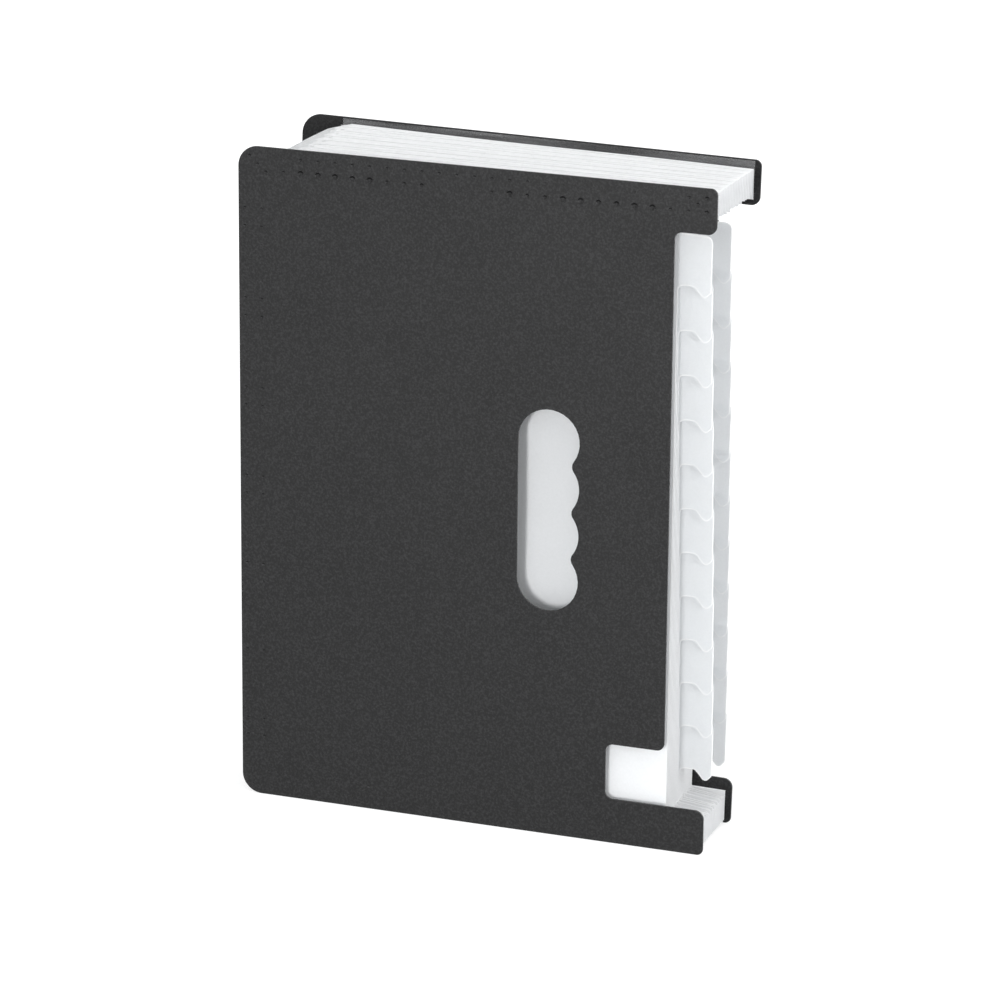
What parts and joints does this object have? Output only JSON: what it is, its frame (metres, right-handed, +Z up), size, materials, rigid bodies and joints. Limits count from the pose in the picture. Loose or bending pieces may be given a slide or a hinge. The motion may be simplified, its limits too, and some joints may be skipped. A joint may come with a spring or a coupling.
{
  "type": "expanding file folder",
  "caption": "Charcoal plastic expanding file folder for A4 sheets: frosted dividers with stepped index tabs between two covers, joined by pleated gussets that open like an accordion.",
  "frame": {"origin": "middle of the footprint of the folder's bounding box, on the surface that it stands on", "axes": "+Z up along the long side of the covers, +Y from the front cover to the back cover, +X from the spine to the open side with the tabs"},
  "size_m": [0.245, 0.0806, 0.335],
  "materials": {
    "cover_sheet": "fine sand-grained polypropylene sheet, charcoal black",
    "divider_sheet": "frosted translucent polypropylene sheet, milky white",
    "gusset_film": "thin glossy polypropylene film, milky white, folded in pleats"
  },
  "bodies": {
    "front_cover": {"front_cover": "cover_sheet", "top_gusset": "gusset_film", "bottom_gusset": "gusset_film", "spine_gusset": "gusset_film"},
    "divider_01": {"divider_01": "divider_sheet"},
    "divider_02": {"divider_02": "divider_sheet"},
    "divider_03": {"divider_03": "divider_sheet"},
    "divider_04": {"divider_04": "divider_sheet"},
    "divider_05": {"divider_05": "divider_sheet"},
    "divider_06": {"divider_06": "divider_sheet"},
    "divider_07": {"divider_07": "divider_sheet"},
    "divider_08": {"divider_08": "divider_sheet"},
    "divider_09": {"divider_09": "divider_sheet"},
    "divider_10": {"divider_10": "divider_sheet"},
    "divider_11": {"divider_11": "divider_sheet"},
    "divider_12": {"divider_12": "divider_sheet"},
    "divider_13": {"divider_13": "divider_sheet"},
    "divider_14": {"divider_14": "divider_sheet"},
    "divider_15": {"divider_15": "divider_sheet"},
    "divider_16": {"divider_16": "divider_sheet"},
    "divider_17": {"divider_17": "divider_sheet"},
    "divider_18": {"divider_18": "divider_sheet"},
    "divider_19": {"divider_19": "divider_sheet"},
    "divider_20": {"divider_20": "divider_sheet"},
    "divider_21": {"divider_21": "divider_sheet"},
    "divider_22": {"divider_22": "divider_sheet"},
    "divider_23": {"divider_23": "divider_sheet"},
    "divider_24": {"divider_24": "divider_sheet"},
    "back_cover": {"back_cover": "cover_sheet"}
  },
  "joints": [
    {"name": "pocket_01", "type": "slide", "parent": "front_cover", "child": "divider_01", "axis": [0, 1, 0], "range_m": [-0.0008, 0.012], "deforming": ["top_gusset", "bottom_gusset", "spine_gusset"]},
    {"name": "pocket_02", "type": "slide", "parent": "divider_01", "child": "divider_02", "axis": [0, 1, 0], "range_m": [-0.0008, 0.012], "deforming": ["top_gusset", "bottom_gusset", "spine_gusset"]},
    {"name": "pocket_03", "type": "slide", "parent": "divider_02", "child": "divider_03", "axis": [0, 1, 0], "range_m": [-0.0008, 0.012], "deforming": ["top_gusset", "bottom_gusset", "spine_gusset"]},
    {"name": "pocket_04", "type": "slide", "parent": "divider_03", "child": "divider_04", "axis": [0, 1, 0], "range_m": [-0.0008, 0.012], "deforming": ["top_gusset", "bottom_gusset", "spine_gusset"]},
    {"name": "pocket_05", "type": "slide", "parent": "divider_04", "child": "divider_05", "axis": [0, 1, 0], "range_m": [-0.0008, 0.012], "deforming": ["top_gusset", "bottom_gusset", "spine_gusset"]},
    {"name": "pocket_06", "type": "slide", "parent": "divider_05", "child": "divider_06", "axis": [0, 1, 0], "range_m": [-0.0008, 0.012], "deforming": ["top_gusset", "bottom_gusset", "spine_gusset"]},
    {"name": "pocket_07", "type": "slide", "parent": "divider_06", "child": "divider_07", "axis": [0, 1, 0], "range_m": [-0.0008, 0.012], "deforming": ["top_gusset", "bottom_gusset", "spine_gusset"]},
    {"name": "pocket_08", "type": "slide", "parent": "divider_07", "child": "divider_08", "axis": [0, 1, 0], "range_m": [-0.0008, 0.012], "deforming": ["top_gusset", "bottom_gusset", "spine_gusset"]},
    {"name": "pocket_09", "type": "slide", "parent": "divider_08", "child": "divider_09", "axis": [0, 1, 0], "range_m": [-0.0008, 0.012], "deforming": ["top_gusset", "bottom_gusset", "spine_gusset"]},
    {"name": "pocket_10", "type": "slide", "parent": "divider_09", "child": "divider_10", "axis": [0, 1, 0], "range_m": [-0.0008, 0.012], "deforming": ["top_gusset", "bottom_gusset", "spine_gusset"]},
    {"name": "pocket_11", "type": "slide", "parent": "divider_10", "child": "divider_11", "axis": [0, 1, 0], "range_m": [-0.0008, 0.012], "deforming": ["top_gusset", "bottom_gusset", "spine_gusset"]},
    {"name": "pocket_12", "type": "slide", "parent": "divider_11", "child": "divider_12", "axis": [0, 1, 0], "range_m": [-0.0008, 0.012], "deforming": ["top_gusset", "bottom_gusset", "spine_gusset"]},
    {"name": "pocket_13", "type": "slide", "parent": "divider_12", "child": "divider_13", "axis": [0, 1, 0], "range_m": [-0.0008, 0.012], "deforming": ["top_gusset", "bottom_gusset", "spine_gusset"]},
    {"name": "pocket_14", "type": "slide", "parent": "divider_13", "child": "divider_14", "axis": [0, 1, 0], "range_m": [-0.0008, 0.012], "deforming": ["top_gusset", "bottom_gusset", "spine_gusset"]},
    {"name": "pocket_15", "type": "slide", "parent": "divider_14", "child": "divider_15", "axis": [0, 1, 0], "range_m": [-0.0008, 0.012], "deforming": ["top_gusset", "bottom_gusset", "spine_gusset"]},
    {"name": "pocket_16", "type": "slide", "parent": "divider_15", "child": "divider_16", "axis": [0, 1, 0], "range_m": [-0.0008, 0.012], "deforming": ["top_gusset", "bottom_gusset", "spine_gusset"]},
    {"name": "pocket_17", "type": "slide", "parent": "divider_16", "child": "divider_17", "axis": [0, 1, 0], "range_m": [-0.0008, 0.012], "deforming": ["top_gusset", "bottom_gusset", "spine_gusset"]},
    {"name": "pocket_18", "type": "slide", "parent": "divider_17", "child": "divider_18", "axis": [0, 1, 0], "range_m": [-0.0008, 0.012], "deforming": ["top_gusset", "bottom_gusset", "spine_gusset"]},
    {"name": "pocket_19", "type": "slide", "parent": "divider_18", "child": "divider_19", "axis": [0, 1, 0], "range_m": [-0.0008, 0.012], "deforming": ["top_gusset", "bottom_gusset", "spine_gusset"]},
    {"name": "pocket_20", "type": "slide", "parent": "divider_19", "child": "divider_20", "axis": [0, 1, 0], "range_m": [-0.0008, 0.012], "deforming": ["top_gusset", "bottom_gusset", "spine_gusset"]},
    {"name": "pocket_21", "type": "slide", "parent": "divider_20", "child": "divider_21", "axis": [0, 1, 0], "range_m": [-0.0008, 0.012], "deforming": ["top_gusset", "bottom_gusset", "spine_gusset"]},
    {"name": "pocket_22", "type": "slide", "parent": "divider_21", "child": "divider_22", "axis": [0, 1, 0], "range_m": [-0.0008, 0.012], "deforming": ["top_gusset", "bottom_gusset", "spine_gusset"]},
    {"name": "pocket_23", "type": "slide", "parent": "divider_22", "child": "divider_23", "axis": [0, 1, 0], "range_m": [-0.0008, 0.012], "deforming": ["top_gusset", "bottom_gusset", "spine_gusset"]},
    {"name": "pocket_24", "type": "slide", "parent": "divider_23", "child": "divider_24", "axis": [0, 1, 0], "range_m": [-0.0008, 0.012], "deforming": ["top_gusset", "bottom_gusset", "spine_gusset"]},
    {"name": "pocket_25", "type": "slide", "parent": "divider_24", "child": "back_cover", "axis": [0, 1, 0], "range_m": [-0.0008, 0.012], "deforming": ["top_gusset", "bottom_gusset", "spine_gusset"]}
  ]
}
